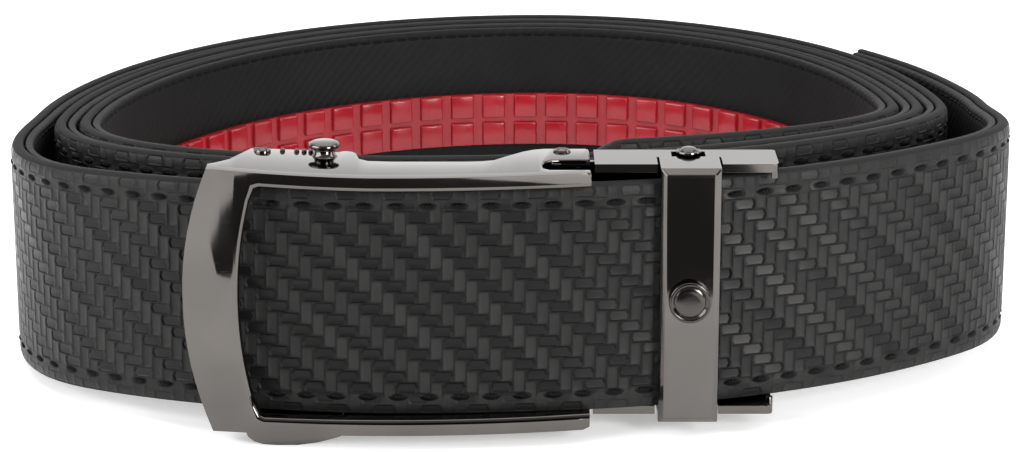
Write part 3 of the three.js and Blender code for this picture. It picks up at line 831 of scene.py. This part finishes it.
# Buckle frame in the drawing's millimetres, as seen from the front or in plan
FRAME_LOW, FRAME_HIGH = (corner.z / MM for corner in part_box("buckle_frame"))
FRAME_RIGHT, FRAME_LEFT, FRAME_MIDDLE = 11.5, -43.5, -18.0
FRAME_FRONT, FRAME_BOW, FRAME_LIP = -3.3, 150.0, 2.0
BAR_BOW, BAR_WIDTH, WINDOW_BOW, WINDOW_LOWER, WINDOW_UPPER = 4.0, 7.6, 2.5, 2.5, 2.3
BAR_OUT, RISE_FROM, RISE_RUN, RISE = 0.7, -20.0, 24.0, 0.8
PLATE_THICK, PLATE_STEP = 1.4, 0.07
HINGE = (7.4, 12.3)


def front_arc(x):
    return FRAME_FRONT + (x - FRAME_MIDDLE) ** 2 / (2 * FRAME_BOW)


def bowed_side(x, low, high, bow, steps=16):
    """Points down a left side that bows outwards, from its top corner to its bottom corner."""
    for step in range(steps + 1):
        share = step / steps
        yield x - bow * (1 - (2 * share - 1) ** 2), high + (low - high) * share


def cut_across(mesh):
    """Cuts a mesh every two millimetres along the buckle, so that it can bend."""
    for x in np.arange(FRAME_LEFT - BAR_OUT - BAR_BOW, FRAME_RIGHT, 2.0):
        bmesh.ops.bisect_plane(mesh, geom=[*mesh.verts, *mesh.edges, *mesh.faces],
                               plane_co=(x, 0, 0), plane_no=(1, 0, 0))


def rise_at(x):
    """How far the buckle's upper side rises towards its left end."""
    return RISE * min(1.2, max(0.0, (RISE_FROM - x) / RISE_RUN)) ** 1.5


def to_frame(mesh):
    """Raises the upper left end, and carries a mesh from the drawing to its place in metres."""
    for vert in mesh.verts:
        if vert.co.z > STRAP_WIDTH * 0.6:
            vert.co.z += rise_at(vert.co.x)
    bmesh.ops.translate(mesh, verts=mesh.verts, vec=(SHIFT[0], SHIFT[1], 0))
    bmesh.ops.scale(mesh, verts=mesh.verts, vec=(MM, MM, MM))


def raised(points, push):
    """A closed solid from a flat outline, pushed out along a vector."""
    mesh = bmesh.new()
    face = mesh.faces.new([mesh.verts.new(point) for point in points])
    made = bmesh.ops.extrude_face_region(mesh, geom=[face])["geom"]
    moved = [part for part in made if isinstance(part, bmesh.types.BMVert)]
    bmesh.ops.translate(mesh, verts=moved, vec=push)
    bmesh.ops.recalc_face_normals(mesh, faces=mesh.faces)
    return mesh


def round_edges(mesh, chosen, width, segments):
    edges = [edge for edge in mesh.edges if chosen(edge)]
    bmesh.ops.bevel(mesh, geom=edges, offset=width, offset_type="OFFSET", segments=segments,
                    profile=0.5, affect="EDGES", clamp_overlap=True, material=-1)


def buckle_front():
    """The C-shaped front: cut flat, its outer and inner edges rolled over, then bowed."""
    round_end, cut, corner, outer_roll, inner_roll = 1.0, 0.3, 0.9, 0.3, 0.8
    low, high, right = FRAME_LOW, FRAME_HIGH, FRAME_RIGHT
    window_left = FRAME_LEFT + BAR_WIDTH - WINDOW_BOW * 0.6
    window_low, window_high = low + WINDOW_LOWER, high - WINDOW_UPPER
    outer = [(right, high - round_end), (right - cut, high - cut), (right - round_end, high)]
    outer += list(bowed_side(FRAME_LEFT - BAR_OUT, low, high, BAR_BOW))
    outer += [(right - round_end, low), (right - cut, low + cut), (right, low + round_end)]
    side = list(bowed_side(window_left, window_low, window_high, WINDOW_BOW))
    inner = [(right, window_high), (window_left + corner, window_high),
             (window_left + corner * 0.25, window_high - corner * 0.25), *side[1:-1],
             (window_left + corner * 0.25, window_low + corner * 0.25),
             (window_left + corner, window_low), (right, window_low)]
    mesh = raised([(x, 0, z) for x, z in outer + inner[::-1]], (0, FRAME_LIP, 0))

    def at_front(edge):
        return all(abs(vert.co.y) < 0.001 for vert in edge.verts)

    def at_window(edge):
        left = window_left - WINDOW_BOW - 0.1
        return all(window_low - 0.01 < vert.co.z < window_high + 0.01 and vert.co.x > left
                   for vert in edge.verts)

    round_edges(mesh, lambda edge: at_front(edge) and at_window(edge), inner_roll, 6)
    round_edges(mesh, lambda edge: at_front(edge) and not at_window(edge), outer_roll, 4)
    cut_across(mesh)
    for vert in mesh.verts:
        vert.co.y += front_arc(vert.co.x)
    to_frame(mesh)
    return mesh


def plate_outline(slotted):
    """A side plate in plan: bowed front edge, then the ear, the recess and the deep part by the pivot."""
    behind, left, right, hinge, pivot = 0.45, FRAME_LEFT, FRAME_RIGHT, HINGE[0], PIVOT[0]
    ear, deep, shallow = HINGE[1] + 1.8, PIVOT[1] + 3.2, FRAME_FRONT + 9.9
    front = [(x, front_arc(x) + behind) for x in np.linspace(left - 0.7, right, 14)]
    slot = [(right, 1.9), (5.6, 1.9), (4.7, 2.7), (4.4, 4.6), (4.8, 6.5), (5.9, 7.5), (right, 7.7)]
    back = [(right, ear - 0.6), (right - 0.5, ear), (hinge - 2.6, ear), (hinge - 4.2, ear - 0.5),
            (hinge - 5.9, ear - 1.7), (hinge - 8.6, ear - 4.7), (hinge - 10.2, shallow + 0.8),
            (hinge - 12.0, shallow + 0.2), (hinge - 14.0, shallow), (pivot + 10, shallow),
            (pivot + 6.6, shallow + 0.4), (pivot + 5.3, shallow + 1.5), (pivot + 4.7, deep - 1.2),
            (pivot + 4.2, deep - 0.4), (pivot + 3.3, deep), (pivot + 2.5, deep - 0.1),
            (pivot + 1.9, deep - 0.7), (pivot + 1.0, deep - 0.9), (pivot - 0.6, deep - 0.6),
            (pivot - 2.0, deep), (left + 5.6, deep), (left + 4.6, deep - 0.3),
            (left + 2.0, FRAME_FRONT + 8.8), (left + 0.2, FRAME_FRONT + 6.6),
            (left - 0.9, FRAME_FRONT + 5.6)]
    return front + (slot if slotted else []) + back


def buckle_plate(low, slotted):
    rounding = 0.3
    mesh = raised([(x, y, low) for x, y in plate_outline(slotted)], (0, 0, PLATE_THICK))
    round_edges(mesh, lambda edge: abs(edge.verts[0].co.z - edge.verts[1].co.z) < 0.01, rounding, 4)
    cut_across(mesh)
    to_frame(mesh)
    return mesh


def keeper_bar():
    """The keeper: a bar with wide chamfers in front and two arms that reach back to the clamp."""
    low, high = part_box("keeper")
    width, thick, chamfer, arm, reach = high.x - low.x, 0.0020, 0.0009, 0.0013, 0.0079
    face, back = low.y + thick, low.y + reach
    profile = [(low.y, low.z), (low.y, high.z), (back, high.z), (back, high.z - arm),
               (face, high.z - arm), (face, low.z + arm), (back, low.z + arm), (back, low.z)]
    mesh = raised([(low.x, y, z) for y, z in profile], (width, 0, 0))
    front = low.y + 1e-6
    round_edges(mesh, lambda edge: all(vert.co.y < front for vert in edge.verts), chamfer, 1)
    return mesh


def clamp_channel():
    """The clamp, with the upright corners of its right end rounded."""
    rounding, shortest = 0.0015, 3e-4
    mesh = merged_copy("strap_clamp")
    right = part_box("strap_clamp")[1].x - 1e-5

    def upright_at_end(edge):
        upright = abs(edge.verts[0].co.z - edge.verts[1].co.z) > shortest
        return upright and all(vert.co.x > right for vert in edge.verts)

    round_edges(mesh, upright_at_end, rounding, 5)
    return mesh


class BELT_OT_hardware(bpy.types.Operator):
    """Make the buckle's front, its side plates, the keeper, the lever and the clamp."""

    bl_idname = "belt.hardware"
    bl_label = "Buckle, keeper, lever and clamp"

    def execute(self, context):
        width = context.scene.belt_sizes.edge_round
        top, bottom = FRAME_HIGH - PLATE_THICK - PLATE_STEP, FRAME_LOW + PLATE_STEP
        metal_piece(buckle_front(), "buckle_front", 50.0, "buckle_frame")
        metal_piece(buckle_plate(top, slotted=True), "buckle_plate_top", 50.0, "buckle_frame")
        metal_piece(buckle_plate(bottom, slotted=False), "buckle_plate_bottom", 50.0, "buckle_frame")
        metal_piece(keeper_bar(), "keeper_bar", 30.0, "keeper", rounding=width * 0.8)
        lever = merged_copy("release_lever")
        metal_piece(lever, "lever_body", 30.0, "release_lever", rounding=width)
        metal_piece(clamp_channel(), "clamp_channel", 30.0, "strap_clamp", rounding=width)
        return {"FINISHED"}


def turned_piece(profile, centre, axis="Z", steps=48):
    """Spins a profile of (radius, height) points, in metres, about an upright or forward axis."""
    mesh = bmesh.new()
    verts = [mesh.verts.new((radius, 0, height)) for radius, height in profile]
    edges = [mesh.edges.new(pair) for pair in zip(verts, verts[1:])]
    bmesh.ops.spin(mesh, geom=[*verts, *edges], cent=(0, 0, 0), axis=(0, 0, 1),
                   angle=2 * math.pi, steps=steps, use_merge=True)
    bmesh.ops.remove_doubles(mesh, verts=mesh.verts, dist=1e-6)
    if axis == "Y":
        bmesh.ops.rotate(mesh, verts=mesh.verts, matrix=Matrix.Rotation(math.pi / 2, 3, "X"))
    bmesh.ops.translate(mesh, verts=mesh.verts, vec=centre)
    return mesh


def node_middle(node):
    low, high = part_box(node)
    return (low + high) / 2, low, high


def release_knob():
    """The pivot pin, with a collar and a mushroom head above the top plate."""
    middle, low, high = node_middle("pivot_pin")
    wide, top = (high.x - low.x) / 2, high.z
    return turned_piece([
        (0, low.z), (0.0010, low.z), (0.0012, low.z + 0.0002), (0.0012, top - 0.0027),
        (0.0020, top - 0.0026), (0.00205, top - 0.0024), (0.0015, top - 0.0019),
        (0.00145, top - 0.0013), (wide * 0.93, top - 0.00105), (wide, top - 0.0008),
        (wide, top - 0.0006), (wide * 0.93, top - 0.0003), (wide * 0.7, top - 0.00008), (0, top),
    ], (middle.x, middle.y, 0))


def plate_studs():
    """Five small studs in a row on the top plate, at the left of the pivot pin."""
    radii, behind, spots = (0.4, 0.5, 0.3), 2.1, (2.1, 3.1, 4.2, 6.3, 10.2)
    stud = bmesh.new()
    bmesh.ops.create_uvsphere(stud, u_segments=14, v_segments=9, radius=1.0)
    mesh = bmesh.new()
    stamp(mesh, stud, [
        Matrix.Translation((PIVOT[0] - away, PIVOT[1] + behind, FRAME_HIGH)) @ Matrix.Diagonal((*radii, 1))
        for away in spots
    ])
    to_frame(mesh)
    return mesh


def rivet(node):
    """A pin with a rolled head that has a small hollow in it."""
    middle, low, high = node_middle(node)
    radius = (high.x - low.x) / 2
    top = high.z + rise_at(middle.x / MM - SHIFT[0]) * MM
    return turned_piece([
        (0, low.z), (radius * 0.85, low.z), (radius, low.z + 0.0002), (radius, top - 0.0001),
        (radius * 1.35, top), (radius * 1.4, top + 0.0002), (radius * 1.2, top + 0.00045),
        (radius * 0.85, top + 0.0003), (radius * 0.7, top + 0.0001), (radius * 0.5, top + 0.0003),
        (0, top + 0.0005),
    ], (middle.x, middle.y, 0), steps=28)


def clamp_screw():
    """The screw's neck and its low domed head."""
    middle, low, high = node_middle("clamp_screw")
    head, top = (high.x - low.x) / 2, high.z
    return turned_piece([
        (0, low.z), (head * 0.6, low.z), (head * 0.6, top - 0.0009), (head * 0.95, top - 0.0009),
        (head, top - 0.00075), (head * 0.97, top - 0.0006), (head * 0.86, top - 0.00055),
        (head * 0.8, top - 0.0007), (head * 0.7, top - 0.00045), (head * 0.5, top - 0.00015),
        (head * 0.25, top - 0.00003), (0, top),
    ], (middle.x, middle.y, 0))


def medallion_rings():
    """A plain round boss: a raised rim, a groove and a nearly flat middle."""
    middle, low, high = node_middle("medallion")
    wide, deep = (high.x - low.x) / 2, high.y - low.y
    return turned_piece([
        (0, -0.0001), (wide * 0.98, -0.0001), (wide, 0.0001), (wide, deep * 0.8),
        (wide * 0.96, deep * 0.93), (wide * 0.9, deep), (wide * 0.84, deep * 0.93),
        (wide * 0.8, deep * 0.75), (wide * 0.74, deep * 0.62), (wide * 0.68, deep * 0.75),
        (wide * 0.62, deep * 0.82), (wide * 0.3, deep * 0.86), (0, deep * 0.87),
    ], (middle.x, high.y, middle.z), axis="Y")


class BELT_OT_pins(bpy.types.Operator):
    """Make the pins, the studs on the top plate, the clamp screw and the medallion."""

    bl_idname = "belt.pins"
    bl_label = "Pins, screw and medallion"

    def execute(self, context):
        dark = "Dark medallion metal"
        metal_piece(release_knob(), "release_knob", 50.0, "pivot_pin")
        # The studs take the darker metal as painted shade, so that they read as dark dots.
        metal_piece(plate_studs(), "plate_studs", 60.0, metal=dark)
        metal_piece(rivet("hinge_pin"), "hinge_rivet", 50.0, "hinge_pin")
        metal_piece(rivet("stop_pin"), "stop_rivet", 50.0, "stop_pin")
        metal_piece(clamp_screw(), "clamp_screw_head", 50.0, "clamp_screw")
        metal_piece(medallion_rings(), "medallion_rings", 50.0, "medallion", metal=dark)
        return {"FINISHED"}


class BELT_OT_finishes(bpy.types.Operator):
    """Make every material, and the node groups that they share."""

    bl_idname = "belt.finishes"
    bl_label = "Finishes"

    def execute(self, context):
        colours = context.scene.belt_finish
        groups = {"twill": twill_group(), "grain": grain_group(), "marks": handling_group()}
        face_leather(colours, groups)
        lining_leather(colours, groups)
        thread_material(colours)
        track_plastic(colours, groups)
        polished_metal("Polished gunmetal", colours.gunmetal, colours.gloss, groups)
        dark = tuple(part * 0.6 for part in colours.gunmetal)
        polished_metal("Dark medallion metal", dark, colours.gloss + 0.12, groups)
        return {"FINISHED"}


# Studio

def soft_light(name, place, target, size, power):
    light = bpy.data.lights.new(name, "AREA")
    light.shape = "RECTANGLE"
    light.size, light.size_y = size
    light.energy = power
    lamp = bpy.data.objects.new(name, light)
    bpy.context.scene.collection.objects.link(lamp)
    lamp.location = place
    aim = (Vector(target) - Vector(place)).to_track_quat("-Z", "Y")
    lamp.rotation_euler = aim.to_euler()


def dark_card():
    """A black card on the floor before the belt, seen only in reflections."""
    mesh = bmesh.new()
    corners = ((-0.104, -0.164), (0.052, -0.135), (0.066, -0.9), (-0.30, -0.9))
    mesh.faces.new([mesh.verts.new((x, y, 0.0005)) for x, y in corners])
    card = finish_mesh(mesh, "studio_dark_card")
    material, graph, skin = new_material("Black card")
    mottle = graph.noise(graph.place(), 20.0)
    graph.put(graph.blend(mottle, opaque((0.004,) * 3), opaque((0.008,) * 3)), skin["Base Color"])
    skin["Roughness"].default_value = 0.9
    card.data.materials.append(material)
    card.visible_camera = False
    card.visible_diffuse = False
    card.visible_shadow = False


def surroundings():
    """White to the camera, and to reflections dark in front and bright overhead."""
    world = bpy.data.worlds.new("Studio surroundings")
    world.use_nodes = True
    graph = Graph(world.node_tree)
    _, depth, height = graph.split(graph.node("ShaderNodeTexCoord").outputs["Generated"])
    overhead = graph.span(height, 0.2, 0.8, 0.02, 0.42)
    behind = graph.span(depth, 0.25, 0.8, 0.0, 1.5)
    seen = graph.node("ShaderNodeLightPath").outputs["Is Camera Ray"]
    ground = world.node_tree.nodes["Background"].inputs
    graph.put(graph.mix(seen, graph.sum(overhead, behind), 1.0), ground["Strength"])
    ground["Color"].default_value = (1, 1, 1, 1)
    return world


def pale_floor():
    """A matt floor that glows a little, so that it comes out as pale as the white behind it."""
    mesh = bmesh.new()
    bmesh.ops.create_grid(mesh, x_segments=1, y_segments=1, size=3.0)
    floor = finish_mesh(mesh, "studio_floor")
    material, graph, skin = new_material("Pale floor")
    tone = graph.noise(graph.place(), 3.0, 2.0)
    graph.put(graph.blend(tone, opaque((0.93,) * 3), opaque((0.95,) * 3)), skin["Base Color"])
    skin["Roughness"].default_value = 0.85
    skin["Specular IOR Level"].default_value = 0.15
    skin["Emission Color"].default_value = (1, 1, 1, 1)
    skin["Emission Strength"].default_value = 0.34
    floor.data.materials.append(material)


def catalogue_camera():
    """The camera at the photo's viewing angle, a little above the belt and looking down at it."""
    place, pitch = (-0.00013, -0.4880, 0.1544), 16.08
    data = bpy.data.cameras.new("Catalogue camera")
    data.lens, data.sensor_width = 105.47, 36.0
    data.clip_start, data.clip_end = 0.01, 20.0
    camera = bpy.data.objects.new("Catalogue camera", data)
    bpy.context.scene.collection.objects.link(camera)
    camera.location = place
    camera.rotation_euler = (math.radians(90 - pitch), 0, 0)
    bpy.context.scene.camera = camera


class BELT_OT_studio(bpy.types.Operator):
    """Set up the pale floor, the soft lights and the camera."""

    bl_idname = "belt.studio"
    bl_label = "Studio"

    def execute(self, context):
        context.scene.view_settings.view_transform = "Standard"
        pale_floor()
        dark_card()
        soft_light("Overhead softbox", (0.0, 0.1, 1.0), (0, 0, 0.0), (1.4, 1.0), 6.5)
        soft_light("Left softbox", (-0.8, -0.35, 0.42), (-0.05, -0.03, 0.02), (0.9, 0.6), 9.0)
        soft_light("Front right softbox", (0.50, -0.72, 0.30), (0.04, -0.05, 0.02), (0.3, 0.35), 7.0)
        soft_light("Right softbox", (0.85, 0.02, 0.42), (0.05, -0.03, 0.02), (0.35, 0.6), 2.6)
        context.scene.world = surroundings()
        catalogue_camera()
        return {"FINISHED"}


class BELT_PT_panel(bpy.types.Panel):
    """Lists the belt's settings and its building steps."""

    bl_idname = "BELT_PT_panel"
    bl_label = "Ratchet belt"
    bl_space_type = "VIEW_3D"
    bl_region_type = "UI"
    bl_category = "Belt"

    def draw(self, context):
        for group in (context.scene.belt_sizes, context.scene.belt_finish):
            box = self.layout.box()
            for name in group.__annotations__:
                box.prop(group, name)
        for step in STEPS:
            self.layout.operator(step.bl_idname)


STEPS = (BELT_OT_finishes, BELT_OT_leather, BELT_OT_lining, BELT_OT_seams, BELT_OT_track,
         BELT_OT_hardware, BELT_OT_pins, BELT_OT_studio)
CLASSES = (BeltFinish, BeltSizes, *STEPS, BELT_PT_panel)


def register():
    for item in CLASSES:
        bpy.utils.register_class(item)
    bpy.types.Scene.belt_finish = bpy.props.PointerProperty(type=BeltFinish)
    bpy.types.Scene.belt_sizes = bpy.props.PointerProperty(type=BeltSizes)


def unregister():
    del bpy.types.Scene.belt_sizes
    del bpy.types.Scene.belt_finish
    for item in reversed(CLASSES):
        bpy.utils.unregister_class(item)


def main():
    register()
    bpy.ops.belt.finishes()
    bpy.ops.belt.leather()
    bpy.ops.belt.lining()
    bpy.ops.belt.seams()
    bpy.ops.belt.track()
    bpy.ops.belt.hardware()
    bpy.ops.belt.pins()
    bpy.ops.belt.studio()


if __name__ == "__main__":
    main()
